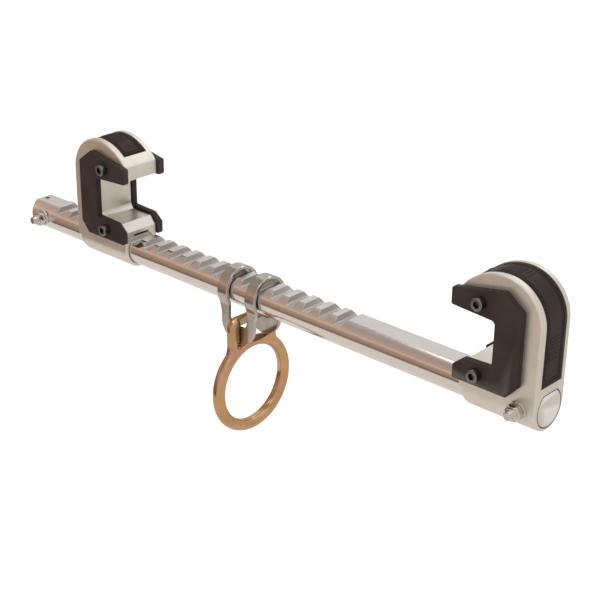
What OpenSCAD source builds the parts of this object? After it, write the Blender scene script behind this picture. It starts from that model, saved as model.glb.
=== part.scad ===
// Adjustable sliding beam anchor: a notched bar with a fixed and a ratcheting C-shaped jaw that hook
// over the two edges of a beam's bottom flange, and a ring that hangs from a saddle on the bar.
// Origin: where the flange's edge and top face meet the fixed jaw, on the middle plane of the bar.
// +Z is up, the bar runs along X, and the fixed jaw is at its +X end.

/* [Bar] */
// Diameter of the round bar
bar_d = 25.4; // [25:0.1:25.6]
// Height of the milled flat above the bar's axis
flat_h = 10.6; // [10.4:0.1:11]
// Distance of the bar's axis below the flange seat
bar_drop = 53.6; // [53.4:0.1:54]
// Overall length of the bar
bar_len = 482.75; // [480:0.25:500]

/* [Notches] */
// Distance from one notch to the next
notch_pitch = 14.57; // [14.5:0.01:14.6]
// Width of a notch along the bar
notch_w = 9.07; // [8.8:0.01:9.2]
// Depth of a notch below the flat
notch_depth = 4.5; // [4:0.1:5]
// Number of notches
notch_count = 21; // [18:1:21]
// Distance from the fixed jaw's throat to the nearest notch
plain_len = 122.73; // [120:0.01:123]

/* [Jaws] */
// Width of a jaw's body across the bar
jaw_w = 30.6; // [30.2:0.1:31]
// Length of a jaw's base along the bar
base_len = 56.5; // [55:0.5:58]
// Distance from a jaw's outer face to the throat of its pads
throat = 30.1; // [30:0.05:30.4]
// Height of the crown above the bar's axis
crown_h = 82; // [81:0.5:83]
// Radius of the outer corner of the head
outer_r = 28; // [27:0.5:29]
// Radius of the crown from its top down to the nose
nose_r = 39; // [38:0.5:40]
// Notch that the sliding jaw stands at, counted from the fixed jaw
rest_notch = 18; // [5:1:18]

/* [Pads and grips] */
// Thickness of a side pad
pad_t = 4.9; // [4.5:0.1:5.2]
// Width of the grip in the spine
grip_w = 21.4; // [20:0.2:22]
// Thickness of the grip in the spine
grip_t = 2.8; // [2.4:0.1:3]
// Distance that the grip lies below the steel on either side
grip_sink = 0.6; // [0.3:0.1:0.8]

/* [Ring and saddle] */
// Distance of the saddle and ring from the fixed jaw's throat
hanger_x = 218.74; // [180:0.01:240]
// Overall width of the saddle along the bar
hanger_w = 36; // [35:0.5:37]
// Width of the window between the saddle's two straps
window_w = 17.4; // [16:0.2:18]
// Inner radius of the ring
ring_in_r = 28.7; // [28:0.1:29.5]
// Diameter of the ring's stock
ring_d = 9.2; // [8.8:0.1:9.6]

/* [Fasteners] */
// Diameter of the two bolts across the bar
bolt_d = 6; // [5:0.5:6]
// Diameter of the pad screws
screw_d = 4.9; // [4:0.1:5]

/* [Hidden] */
$fn = 48;
over = 1;                                  // how far a cut runs past the surface that it opens
run_gap = 0.05;                            // radial clearance of a shaft that turns in its hole
slide_gap = 0.3;                           // clearance between surfaces that slide past each other
loose_gap = 0.2;                           // radial clearance of a bolt in its hole
seam = 0.15;                               // gap at the edges of inlaid parts

bar_r = bar_d / 2;
jaw_r = jaw_w / 2;
bar_left = throat - bar_len;               // x of the bar's free end

// One notch: an upright wall at its left, a flat floor and a ramp at its right
notch_lean = 0.4;
notch_floor_end = 6.15;
notch_corner = 1.3;
notch_ramp = atan(notch_depth / (notch_w - notch_floor_end));
wall_from_face = 12.01;                    // from the sliding jaw's outer face to the engaged wall
function notch_x(i) = -plain_len - notch_w - i * notch_pitch;   // upright wall of notch i, from 0
slide_x = notch_x(rest_notch - 1) - wall_from_face;             // outer face of the sliding jaw

// Side outline of a jaw: distances in from the outer face, heights above the bar's axis
steel_throat = 29.3;
steel_floor = 21;
steel_roof = 54.8;
slope_a = 51.2;                            // where the gap's floor begins to slope down
slope_z = 15.1;                            // height at which the slope meets the front face
nose_a = 59.5;
throat_fillets = [5, 3];                   // radii at the foot and the top of the throat
outer_z = crown_h - outer_r;               // height of the outer corner's centre
nose_z = crown_h - nose_r;                 // height of the nose arc's centre
base_rounds = [2, 6];                      // radii of the underside's +X and -X ends
seat_slope = 3.4;                          // angle at which the jaw's underside rises to its tip

// Bore of the sliding jaw: wider than the bar above its flat
mouth_h = 12.4;
mouth_w = 14;

// Side outline of a pad
pad_tip = 62;
pad_tip_top = 67;
pad_crest = [24.8, 73.8];
pad_back = 11.5;
pad_back_top = 64;
pad_back_foot = 15.8;
pad_bottom = 7.5;
pad_bottom_start = 19;
pad_floor = [[30.1, 23.5], [51.3, 22.6], [58.5, 16.7]];
pad_corner = 2.5;                          // radius where the seat meets the throat
corner_steps = 8;
screw_a = 40.4;
screw_heights = [63.05, 15.8];
screw_head_r = 4.25;
screw_head_h = 5.3;
screw_depth = 10;
key_flats = 4;
key_depth = 2.8;

// Ends of the spine grip
grip_foot = 16;
grip_end = 53;

// Ratchet of the sliding jaw: the pawl is drawn in its notch and then lifted by turning it
pivot_a = 30;
pivot_z = 15.6;
pin_r = 2;
eye_r = 3.4;
pawl_w = 7;
pocket_w = 8;
tooth_r = 18.39;                           // radius of the tooth's face round the pivot
tooth_z = 7.6;
tooth_end = 16.2;
lever_z = 11.8;
lever_top = 17.2;
arm_a = [11.5, 15.5];
arm_top = 42;
lift = 13.2;                               // angle at which the tooth just clears the flat
pocket_a = [5, 26];
pocket_top = 47;
slot_end = 34.5;
slot_top = 19.4;

// Release button: a rod through the spine that pushes the pawl's arm
button_z = 38;
button_r = 3;
button_head_r = 7;
button_head_a = [-3.6, -0.6];
button_chamfer = 0.8;
button_end = 15.2;
clip_a = 9.9;
clip_t = 1.3;
clip_r = 3.9;
clip_groove_r = 2.4;

// Return spring between the pawl's arm and the front of its pocket
coil_r = 2.6;
coil_wire = 0.35;
coil_turns = 3;
coil_a = [22.7, 25.6];
coil_sides = 8;
coil_steps = 20;

// Saddle: a strip bent over the bar, with its two ends hanging side by side below
saddle_t = 2.8;
loop_r = 16.4;
loop_z = -0.6;
neck_y = 14.2;
neck_z = -8.4;
plate_r = 16.2;
plate_z = -21;                             // height of the centre of the plates' round end
shoulder_z = [-9, -15];
window_z = -23.4;
window_r = 5;

// Ring: a torus with a rectangular eye of thinner stock on top
wire_r = ring_d / 2;
ring_r = ring_in_r + wire_r;
ring_z = -72.3;
rod_z = -19.2;                             // height of the eye's rod, on which the ring swings
post_r = 3.85;
post_y = 19.5;
bend_r = 5.4;
crossbar_z = -37.9;                        // flat top of the stock between eye and ring

// Cross bolts: distances from the bar's ends, hexagon, head, nut and washer
jaw_bolt_a = 12.2;
stop_bolt_a = 14.5;
washer_t = 1.6;
stub = 3.3;
hex_flats = 10;
head_h = 4;
nut_h = 6.6;
washer_r = 6.2;
insert_r = hex_flats / 2 - 1.3;
insert_t = 1.6;
lock_hole_a = 4;
lock_hole_r = 1.9;
lock_hole_depth = 8;

// ---- Placing: parts are drawn about the bar's axis, or in a jaw's own frame ----

// Lowers parts drawn about the bar's axis to their place below the flange seat
module on_axis() { translate([0, 0, -bar_drop]) children(); }

// A jaw's own frame: X runs inwards from its outer face, Z is the height above the bar's axis
module at_fixed() { on_axis() translate([throat, 0, 0]) mirror([1, 0, 0]) children(); }
module at_sliding() { on_axis() translate([slide_x, 0, 0]) children(); }

// Parts drawn for the rear (+Y) side, kept there or mirrored to the front (-Y)
module on_side(side) { if (side > 0) children(); else mirror([0, 1, 0]) children(); }

// Extrudes a side outline (X, Z) across the bar, centred on the middle plane
module across(w) { rotate([90, 0, 0]) translate([0, 0, -w / 2]) linear_extrude(height = w) children(); }

// Extrudes a cross-section (Y, Z) along the bar from x0 to x1
module along(x0, x1) {
    translate([x0, 0, 0]) rotate([90, 0, 90]) linear_extrude(height = x1 - x0) children();
}

// A cylinder across the bar from y0 to y1, and one along it from x0 to x1
module cross_rod(r, y0, y1) { translate([0, y1, 0]) rotate([90, 0, 0]) cylinder(r = r, h = y1 - y0); }
module long_rod(r, x0, x1) { translate([x0, 0, 0]) rotate([0, 90, 0]) cylinder(r = r, h = x1 - x0); }

// ---- Bar ----

// The bar's cross-section, grown all round by a clearance
module d_section(grow) {
    intersection() {
        circle(r = bar_r + grow);
        translate([-bar_d, -bar_d]) square([2 * bar_d, bar_d + flat_h + grow]);
    }
}

module notch_outline() {
    foot = notch_corner * tan(notch_ramp / 2);
    corner_z = notch_corner - notch_depth;
    polygon([[0, over], [0, 0], [notch_lean, corner_z], [notch_lean + notch_corner, -notch_depth],
             [notch_floor_end - foot, -notch_depth],
             [notch_floor_end + foot * cos(notch_ramp), foot * sin(notch_ramp) - notch_depth],
             [notch_w, 0], [notch_w, over]]);
    for (x = [notch_lean + notch_corner, notch_floor_end - foot])
        translate([x, corner_z]) circle(r = notch_corner);
}

module bar() {
    color([0.80, 0.79, 0.77])
    on_axis() difference() {
        along(bar_left, throat) d_section(0);
        for (i = [0 : notch_count - 1])
            translate([notch_x(i), 0, flat_h]) across(bar_d) notch_outline();
        translate([throat - jaw_bolt_a, 0, 0]) cross_rod(bolt_d / 2 + loose_gap, -bar_d, bar_d);
        translate([bar_left + stop_bolt_a, 0, 0]) cross_rod(bolt_d / 2 + loose_gap, -bar_d, bar_d);
        translate([bar_left + lock_hole_a, 0, flat_h - lock_hole_depth])
            cylinder(r = lock_hole_r, h = lock_hole_depth + over);
    }
}

// ---- Jaw bodies ----

// Height of a line that rises to the tip at the seat's slope, from height z at distance a0
function slope_at(a, a0, z) = z + (a - a0) * tan(seat_slope);

// The gap between the steel's base and head, with both corners of its throat rounded
module steel_gap() {
    foot = throat_fillets[0];
    top = throat_fillets[1];
    top_z = slope_at(steel_throat + top, steel_throat, steel_roof) - top / cos(seat_slope);
    far = nose_a + over;
    polygon([[steel_throat, steel_floor + foot], [steel_throat, top_z],
             [steel_throat + top - top * sin(seat_slope), top_z + top * cos(seat_slope)],
             [far, slope_at(far, steel_throat, steel_roof)],
             [far, slope_z - (far - base_len) * (steel_floor - slope_z) / (base_len - slope_a)],
             [slope_a, steel_floor], [steel_throat + foot, steel_floor]]);
    translate([steel_throat + foot, steel_floor + foot]) circle(r = foot);
    translate([steel_throat + top, top_z]) circle(r = top);
}

// Side outline of the steel; rounds are the radii of its underside at the outer and the inner end
module jaw_outline(rounds) {
    outer = rounds[0];
    inner = rounds[1];
    difference() {
        union() {
            translate([outer_r, outer_z]) circle(r = outer_r);
            intersection() {
                translate([outer_r, nose_z]) circle(r = nose_r);
                translate([outer_r, nose_z]) square([nose_a - outer_r, nose_r + over]);
            }
            square([base_len, outer_z]);
            translate([outer, -jaw_r]) square([base_len - outer - inner, jaw_r + over]);
            translate([0, outer - jaw_r]) square([base_len / 2, jaw_r - outer + over]);
            translate([base_len / 2, inner - jaw_r]) square([base_len / 2, jaw_r - inner + over]);
            translate([outer, outer - jaw_r]) circle(r = outer);
            translate([base_len - inner, inner - jaw_r]) circle(r = inner);
        }
        steel_gap();
    }
}

// Band along the outside of the spine and crown between two depths below the surface
module spine_band(d0, d1) {
    translate([d0, grip_foot]) square([d1 - d0, outer_z - grip_foot]);
    intersection() {
        translate([outer_r, outer_z]) difference() { circle(r = outer_r - d0); circle(r = outer_r - d1); }
        translate([-over, outer_z]) square([outer_r + over, outer_r + 2 * over]);
    }
    intersection() {
        translate([outer_r, nose_z]) difference() { circle(r = nose_r - d0); circle(r = nose_r - d1); }
        translate([outer_r, outer_z]) square([grip_end - outer_r, nose_r]);
    }
}

// Steel body with a U-shaped underside, before its bore is cut
module jaw_body(rounds) {
    difference() {
        intersection() {
            across(jaw_w) jaw_outline(rounds);
            along(0, pad_tip) union() {
                circle(r = jaw_r);
                translate([-jaw_r, 0]) square([jaw_w, crown_h + over]);
            }
        }
        across(grip_w + 2 * seam) spine_band(-over, grip_sink + grip_t);
        for (side = [-1, 1], z = screw_heights)
            on_side(side) translate([screw_a, 0, z])
                cross_rod(screw_d / 2 + run_gap, jaw_r - screw_depth, jaw_r + over);
    }
}

module fixed_jaw() {
    color([0.78, 0.76, 0.71])
    at_fixed() difference() {
        jaw_body(base_rounds);
        along(-over, base_len + over) d_section(seam);
        translate([jaw_bolt_a, 0, 0]) cross_rod(bolt_d / 2 + loose_gap, -jaw_w, jaw_w);
    }
}

module sliding_jaw() {
    color([0.78, 0.76, 0.71])
    at_sliding() difference() {
        jaw_body([base_rounds[1], base_rounds[0]]);
        along(-over, base_len + over) union() {
            d_section(slide_gap);
            translate([-mouth_w / 2, 0]) square([mouth_w, mouth_h]);
        }
        across(pocket_w) union() {
            translate([pocket_a[0], 0]) square([pocket_a[1] - pocket_a[0], pocket_top]);
            translate([pocket_a[0], 0]) square([slot_end - pocket_a[0], slot_top]);
        }
        translate([pivot_a, 0, pivot_z]) cross_rod(pin_r, -jaw_w, jaw_w);
        translate([0, 0, button_z]) long_rod(button_r + slide_gap, -over, pocket_a[0] + over);
    }
}

// ---- Pads, screws and grips ----

module pad_outline() {
    arc_a = throat + pad_corner;
    arc_z = slope_at(arc_a, throat, bar_drop) - pad_corner / cos(seat_slope);
    corner = [for (k = [0 : corner_steps])
        let (turn = 90 + seat_slope + (90 - seat_slope) * k / corner_steps)
            [arc_a + pad_corner * cos(turn), arc_z + pad_corner * sin(turn)]];
    difference() {
        polygon(concat([[pad_tip, pad_tip_top], [pad_tip, slope_at(pad_tip, throat, bar_drop)]], corner,
                       pad_floor, [[pad_floor[2][0], pad_bottom], [pad_bottom_start, pad_bottom],
                       [pad_back, pad_back_foot], [pad_back, pad_back_top], pad_crest]));
        for (z = screw_heights) translate([screw_a, z]) circle(r = screw_d / 2 + run_gap);
    }
}

module pad(side) {
    color([0.17, 0.15, 0.14])
    on_side(side) translate([0, jaw_r + pad_t / 2, 0]) across(pad_t) pad_outline();
}

module pad_screws(side) {
    face = jaw_r + pad_t;
    top = face + screw_head_h;
    color([0.12, 0.12, 0.13])
    on_side(side) for (z = screw_heights) translate([screw_a, 0, z]) difference() {
        union() {
            cross_rod(screw_d / 2, jaw_r - screw_depth + 2 * seam, face + over);
            cross_rod(screw_head_r, face, top);
        }
        translate([0, top + over, 0]) rotate([90, 0, 0])
            cylinder(r = key_flats / sqrt(3), h = key_depth + over, $fn = 6);
    }
}

module grip() {
    color([0.14, 0.12, 0.12])
    across(grip_w) spine_band(grip_sink, grip_sink + grip_t);
}

module fixed_jaw_front_pad() { at_fixed() pad(-1); }
module fixed_jaw_rear_pad() { at_fixed() pad(1); }
module fixed_jaw_front_screws() { at_fixed() pad_screws(-1); }
module fixed_jaw_rear_screws() { at_fixed() pad_screws(1); }
module fixed_jaw_spine_grip() { at_fixed() grip(); }
module sliding_jaw_front_pad() { at_sliding() pad(-1); }
module sliding_jaw_rear_pad() { at_sliding() pad(1); }
module sliding_jaw_front_screws() { at_sliding() pad_screws(-1); }
module sliding_jaw_rear_screws() { at_sliding() pad_screws(1); }
module sliding_jaw_spine_grip() {
    at_sliding() difference() {
        grip();
        translate([0, 0, button_z]) long_rod(button_r + slide_gap, -over, pocket_a[0] + over);
    }
}

// ---- Cross bolts: head at +Y, locknut at -Y ----

// Hexagon on a nut or bolt head from y0 out to y1, with the corners of its outer end turned off
module hexagon(y0, y1) {
    corner = hex_flats / sqrt(3);
    turned = (corner - hex_flats / 2) * 0.7;
    intersection() {
        translate([0, y1, 0]) rotate([90, 0, 0]) cylinder(r = corner, h = y1 - y0, $fn = 6);
        union() {
            cross_rod(corner + over, y0, y1 - turned);
            translate([0, y1, 0]) rotate([90, 0, 0])
                cylinder(r1 = hex_flats / 2 - 0.3, r2 = corner + seam, h = turned + 0.01);
        }
    }
}

// seat is the distance from the middle plane to the surface that the washers lie on
module cross_bolt(seat) {
    head = seat + washer_t;
    color([0.75, 0.73, 0.70]) union() {
        cross_rod(bolt_d / 2, -head - nut_h - stub, head + over);
        hexagon(head, head + head_h);
    }
}

module cross_washers(seat) {
    color([0.72, 0.72, 0.70])
    for (side = [-1, 1]) on_side(side) difference() {
        cross_rod(washer_r, seat, seat + washer_t);
        cross_rod(bolt_d / 2 + loose_gap, seat - over, seat + washer_t + over);
    }
}

module cross_locknut(seat) {
    face = seat + washer_t;
    top = face + nut_h;
    color([0.80, 0.79, 0.77]) on_side(-1) difference() {
        hexagon(face, top);
        cross_rod(bolt_d / 2 + run_gap, face - over, top + over);
        cross_rod(insert_r + run_gap, top - insert_t, top + over);
    }
}

module locknut_insert(seat) {
    top = seat + washer_t + nut_h;
    color([0.86, 0.86, 0.84]) on_side(-1) difference() {
        cross_rod(insert_r, top - insert_t, top - 0.3);
        cross_rod(bolt_d / 2 + run_gap, top - insert_t - over, top + over);
    }
}

module at_jaw_bolt() { on_axis() translate([throat - jaw_bolt_a, 0, 0]) children(); }
module at_stop_bolt() { on_axis() translate([bar_left + stop_bolt_a, 0, 0]) children(); }

module fixed_jaw_bolt() { at_jaw_bolt() cross_bolt(jaw_r); }
module fixed_jaw_washers() { at_jaw_bolt() cross_washers(jaw_r); }
module fixed_jaw_locknut() { at_jaw_bolt() cross_locknut(jaw_r); }
module end_stop_bolt() { at_stop_bolt() cross_bolt(bar_r); }
module end_stop_washers() { at_stop_bolt() cross_washers(bar_r); }
module end_stop_locknut() { at_stop_bolt() cross_locknut(bar_r); }
module locknut_inserts() {
    at_jaw_bolt() locknut_insert(jaw_r);
    at_stop_bolt() locknut_insert(bar_r);
}

// ---- Ratchet of the sliding jaw ----

// Side outline of the pawl with its tooth in a notch
module pawl_outline() {
    ramp_run = (lever_z - tooth_z) / tan(notch_ramp);
    intersection() {
        translate([pivot_a, pivot_z]) circle(r = tooth_r);
        polygon([[arm_a[0], tooth_z], [tooth_end, tooth_z], [tooth_end + ramp_run, lever_z],
                 [pivot_a, pivot_z - eye_r], [pivot_a, lever_top], [arm_a[0], lever_top]]);
    }
    translate([arm_a[0], pivot_z - eye_r]) square([arm_a[1] - arm_a[0], arm_top - pivot_z + eye_r]);
    translate([pivot_a, pivot_z]) circle(r = eye_r);
}

module pawl() {
    color([0.45, 0.44, 0.43])
    at_sliding() translate([pivot_a, 0, pivot_z]) rotate([0, lift, 0]) translate([-pivot_a, 0, -pivot_z])
        difference() {
            across(pawl_w) pawl_outline();
            translate([pivot_a, 0, pivot_z]) cross_rod(pin_r + run_gap, -jaw_w, jaw_w);
        }
}

module pawl_pin() {
    color([0.70, 0.70, 0.68])
    at_sliding() translate([pivot_a, 0, pivot_z]) cross_rod(pin_r, -jaw_r + seam, jaw_r - seam);
}

// Corners of the wire's cross-section at a fraction t of the spring's length
function coil_ring(t) = let (turn = 360 * coil_turns * t, a = coil_a[0] + (coil_a[1] - coil_a[0]) * t)
    [for (k = [0 : coil_sides - 1])
        let (s = 360 * k / coil_sides, r = coil_r + coil_wire * cos(s))
            [a + coil_wire * sin(s), r * cos(turn), r * sin(turn)]];

module pawl_spring() {
    rings = coil_turns * coil_steps;
    points = [for (i = [0 : rings]) each coil_ring(i / rings)];
    sides = [for (i = [0 : rings - 1], k = [0 : coil_sides - 1])
        let (n = (k + 1) % coil_sides, near = i * coil_sides, far = near + coil_sides)
            [near + k, near + n, far + n, far + k]];
    start_cap = [for (k = [coil_sides - 1 : -1 : 0]) k];
    end_cap = [for (k = [0 : coil_sides - 1]) rings * coil_sides + k];
    color([0.75, 0.75, 0.73])
    at_sliding() translate([0, 0, button_z])
        polyhedron(points = points, faces = concat([start_cap], sides, [end_cap]));
}

// The button is drawn pressed in, holding the pawl up
module release_button() {
    head_out = button_head_a[0];
    color([0.62, 0.62, 0.60])
    at_sliding() translate([0, 0, button_z]) difference() {
        union() {
            long_rod(button_head_r, head_out + button_chamfer, button_head_a[1]);
            translate([head_out, 0, 0]) rotate([0, 90, 0])
                cylinder(r1 = button_head_r - button_chamfer, r2 = button_head_r, h = button_chamfer);
            long_rod(button_r, button_head_a[1] - over, button_end);
        }
        difference() {
            long_rod(button_r + over, clip_a, clip_a + clip_t);
            long_rod(clip_groove_r, clip_a - over, clip_a + clip_t + over);
        }
    }
}

module release_button_clip() {
    color([0.30, 0.30, 0.30])
    at_sliding() translate([0, 0, button_z]) difference() {
        long_rod(clip_r, clip_a, clip_a + clip_t);
        long_rod(clip_groove_r, clip_a - over, clip_a + clip_t + over);
    }
}

// ---- Saddle and ring ----

// Cross-section of the saddle: a loop over the bar that closes to two upright plates
module saddle_section() {
    inside_y = neck_y - saddle_t;
    difference() {
        translate([0, loop_z]) circle(r = loop_r);
        translate([0, loop_z]) circle(r = loop_r - saddle_t);
        translate([-inside_y, -2 * loop_r]) square([2 * inside_y, 2 * loop_r]);
    }
    for (y = [-neck_y, inside_y])
        translate([y, plate_z - plate_r]) square([saddle_t, neck_z - plate_z + plate_r]);
}

// Side outline of the saddle: two straps above, joined below round the window
module saddle_outline() {
    half = hanger_w / 2;
    half_window = window_w / 2;
    difference() {
        union() {
            translate([-half, shoulder_z[0]]) square([hanger_w, 2 * loop_r]);
            polygon([[-half, shoulder_z[0]], [-plate_r, shoulder_z[1]], [-plate_r, plate_z],
                     [plate_r, plate_z], [plate_r, shoulder_z[1]], [half, shoulder_z[0]]]);
            translate([0, plate_z]) circle(r = plate_r);
        }
        translate([-half_window, window_z + window_r]) square([window_w, 4 * loop_r]);
        translate([window_r - half_window, window_z]) square([window_w - 2 * window_r, 2 * window_r]);
        for (x = [window_r - half_window, half_window - window_r])
            translate([x, window_z + window_r]) circle(r = window_r);
    }
}

module hanger() {
    color([0.72, 0.69, 0.65])
    on_axis() translate([-hanger_x, 0, 0]) intersection() {
        along(-hanger_w / 2, hanger_w / 2) saddle_section();
        across(4 * loop_r) saddle_outline();
    }
}

module anchor_ring() {
    bend_y = post_y - bend_r;
    bend_z = rod_z - bend_r;
    post_foot = ring_z + sqrt(pow(ring_r, 2) - pow(post_y, 2));
    cut_y = post_y - post_r;
    color([0.72, 0.55, 0.32])
    on_axis() translate([-hanger_x, 0, 0]) union() {
        difference() {
            translate([0, 0, ring_z]) rotate([0, 90, 0])
                rotate_extrude() translate([ring_r, 0]) circle(r = wire_r);
            translate([-ring_d, -cut_y, crossbar_z]) cube([2 * ring_d, 2 * cut_y, ring_d]);
        }
        translate([0, 0, rod_z]) cross_rod(post_r, -bend_y, bend_y);
        for (side = [-1, 1]) on_side(side) {
            translate([0, bend_y, bend_z]) intersection() {
                rotate([0, 90, 0]) rotate_extrude() translate([bend_r, 0]) circle(r = post_r);
                translate([-ring_d, 0, 0]) cube([2 * ring_d, 2 * ring_d, 2 * ring_d]);
            }
            translate([0, post_y, post_foot]) cylinder(r = post_r, h = bend_z - post_foot);
        }
    }
}

bar();
fixed_jaw();
fixed_jaw_front_pad();
fixed_jaw_rear_pad();
fixed_jaw_front_screws();
fixed_jaw_rear_screws();
fixed_jaw_spine_grip();
fixed_jaw_bolt();
fixed_jaw_washers();
fixed_jaw_locknut();
end_stop_bolt();
end_stop_washers();
end_stop_locknut();
locknut_inserts();
sliding_jaw();
sliding_jaw_front_pad();
sliding_jaw_rear_pad();
sliding_jaw_front_screws();
sliding_jaw_rear_screws();
sliding_jaw_spine_grip();
pawl_pin();
pawl_spring();
pawl();
release_button();
release_button_clip();
hanger();
anchor_ring();
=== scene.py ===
"""Visual model of an adjustable sliding beam anchor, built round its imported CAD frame."""
import bmesh
import bpy
import math
from mathutils import Euler, Matrix, Vector


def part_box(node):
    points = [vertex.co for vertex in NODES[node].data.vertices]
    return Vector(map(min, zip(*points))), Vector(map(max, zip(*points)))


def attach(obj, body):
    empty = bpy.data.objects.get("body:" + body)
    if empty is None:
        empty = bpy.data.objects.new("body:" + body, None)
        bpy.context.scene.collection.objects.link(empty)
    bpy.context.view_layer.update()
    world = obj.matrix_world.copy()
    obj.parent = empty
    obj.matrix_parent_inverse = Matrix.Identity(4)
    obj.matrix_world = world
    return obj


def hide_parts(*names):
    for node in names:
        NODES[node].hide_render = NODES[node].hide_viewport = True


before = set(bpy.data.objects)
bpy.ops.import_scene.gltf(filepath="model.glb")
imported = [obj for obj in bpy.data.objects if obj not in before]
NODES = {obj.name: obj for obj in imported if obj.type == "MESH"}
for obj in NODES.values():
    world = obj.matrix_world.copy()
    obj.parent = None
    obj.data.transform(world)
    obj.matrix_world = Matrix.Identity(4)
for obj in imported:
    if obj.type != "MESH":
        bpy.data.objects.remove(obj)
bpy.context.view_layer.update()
MM = 0.001

# ---------------------------------------------------------------- sizes, in millimetres
# Heights are from the bar's axis, and a jaw's lengths are from its back.
BAR_R = 12.7
FLAT_H = 10.6
BAR_CHAMFER = 0.5
NOTCH_PITCH = 14.57
NOTCH_W = 9.07
NOTCH_DEPTH = 4.5
NOTCH_COUNT = 21
PLAIN_LEN = 122.73

JAW_R = 15.3
BASE_LEN = 56.5
PAST_ENDS = (-2, 60)            # cutters run between these, past both ends of a jaw's base
SPINE_TOP = 54                  # height where the spine turns into the crown's arc
CROWN_R = 28
BROW_Z = 43                     # centre and radius of the flatter arc from the crown to the nose
BROW_R = 39
NOSE = (59.5, 66)
SLOPE = math.radians(3.4)       # rise of the jaw's underside from the throat to the nose
THROAT = 30.1
SEAT_DROP = 53.6
PAD_T = 4.9
SCREW_A = 40.4
SCREW_Z = (63.05, 15.8)

GROOVE = (16, 53)               # from this height on the spine to this length on the crown
GRIP_W = 21.4
GRIP_SINK = 0.6
GRIP_T = 2.8
GRIP_GAP = 0.15
BUTTON_Z = 38.0
BUTTON_HOLE_R = 3.3
SADDLE_FOOT = -37.2

MERGE = 0.002                   # points closer than this are merged
TURNED_SHARP = 32               # degrees: turned pieces keep edges past this crisp
RING_POINTS = 72                # points round a screw head or a nut

bar_lo, bar_hi = (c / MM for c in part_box("bar"))
AXIS_Z = bar_lo.z + BAR_R
FIXED_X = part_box("fixed_jaw")[1].x / MM
SLIDING_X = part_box("sliding_jaw")[0].x / MM
HANGER_X = (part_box("hanger")[0].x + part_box("hanger")[1].x) / 2 / MM


# ---------------------------------------------------------------- mesh helpers
def arc(cx, cz, r, start, end, steps):
    """Points on an arc, in degrees from start to end."""
    out = []
    for i in range(steps + 1):
        t = math.radians(start + (end - start) * i / steps)
        out.append((cx + r * math.cos(t), cz + r * math.sin(t)))
    return out


def area(outline):
    """Signed area of an outline, which is positive when it runs anticlockwise."""
    return sum(a[0] * b[1] - b[0] * a[1] for a, b in zip(outline, outline[1:] + outline[:1])) / 2


def inset(outline, d):
    """The outline moved inwards by d, with mitred corners."""
    n = len(outline)
    sign = 1 if area(outline) > 0 else -1
    out = []
    for i in range(n):
        p = Vector(outline[i])
        before = (p - Vector(outline[i - 1])).normalized()
        after = (Vector(outline[(i + 1) % n]) - p).normalized()
        n0 = Vector((-before.y, before.x)) * sign
        n1 = Vector((-after.y, after.x)) * sign
        mitre = (n0 + n1) / max(0.3, 1 + n0.dot(n1))
        out.append(tuple(p + mitre * d))
    return out


def make_object(name, verts, faces, sharp=38):
    """An object from points in millimetres about the bar's axis; normals are made to point outwards."""
    mesh = bpy.data.meshes.new(name)
    mesh.from_pydata([(x * MM, y * MM, (z + AXIS_Z) * MM) for x, y, z in verts], [], faces)
    tidy_mesh(mesh, sharp)
    obj = bpy.data.objects.new(name, mesh)
    bpy.context.scene.collection.objects.link(obj)
    return obj


def shade(mesh, sharp):
    """Smooth shading, with edges past that angle kept sharp."""
    for poly in mesh.polygons:
        poly.use_smooth = True
    mesh.set_sharp_from_angle(angle=math.radians(sharp))


def tidy_mesh(mesh, sharp):
    """Merges doubled points, turns normals outwards and shades the mesh."""
    bm = bmesh.new()
    bm.from_mesh(mesh)
    bmesh.ops.remove_doubles(bm, verts=bm.verts, dist=MERGE * MM)
    bmesh.ops.dissolve_degenerate(bm, edges=bm.edges, dist=MERGE * MM)
    bmesh.ops.recalc_face_normals(bm, faces=bm.faces)
    bm.to_mesh(mesh)
    bm.free()
    shade(mesh, sharp)
    mesh.update()


def skin(n, rings, closed=False):
    """Faces between rings of n points, capped at both ends unless the last ring meets the first."""
    faces = []
    for k in range(rings if closed else rings - 1):
        low, high = k * n, (k + 1) % rings * n
        for i in range(n):
            j = (i + 1) % n
            faces.append((low + i, low + j, high + j, high + i))
    if not closed:
        faces.append(tuple(range(n)))
        faces.append(tuple(range((rings - 1) * n, rings * n)))
    return faces


def rounding(r, steps):
    """(distance in from a face, inset of the outline) over a rounded edge, starting at the face."""
    if r == 0:
        return [(0.0, 0.0)]
    turns = [math.pi / 2 * i / steps for i in range(steps + 1)]
    return [(r * (1 - math.cos(t)), r * (1 - math.sin(t))) for t in turns]


def plate(name, outline, place, y0, y1, r0=0.0, r1=0.0, steps=5):
    """A plate with that side outline from y0 to y1 and its edges rounded by r0 and r1."""
    levels = [(y0 + d, e) for d, e in rounding(r0, steps)]
    levels += [(y1 - d, e) for d, e in reversed(rounding(r1, steps))]
    verts = [place(a, y, z) for y, e in levels for a, z in inset(outline, e)]
    return make_object(name, verts, skin(len(outline), len(levels)))


def lathe(name, profile, axis, base, steps):
    """Turns (distance along the axis, radius) points about a line through base."""
    verts, faces = [], []
    rings = []
    for d, r in profile:
        ring = []
        count = 1 if r == 0 else steps
        for i in range(count):
            t = 2 * math.pi * i / steps
            u, v = r * math.cos(t), r * math.sin(t)
            offset = {"x": (d, u, v), "y": (u, d, v), "-y": (u, -d, v), "z": (u, v, d)}[axis]
            ring.append(len(verts))
            verts.append(tuple(b + o for b, o in zip(base, offset)))
        rings.append(ring)
    for low, high in zip(rings, rings[1:]):
        for i in range(steps):
            j = (i + 1) % steps
            corners = [low[i % len(low)], low[j % len(low)], high[j % len(high)], high[i % len(high)]]
            faces.append(tuple(dict.fromkeys(corners)))
    return make_object(name, verts, [f for f in faces if len(f) > 2], TURNED_SHARP)


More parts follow.
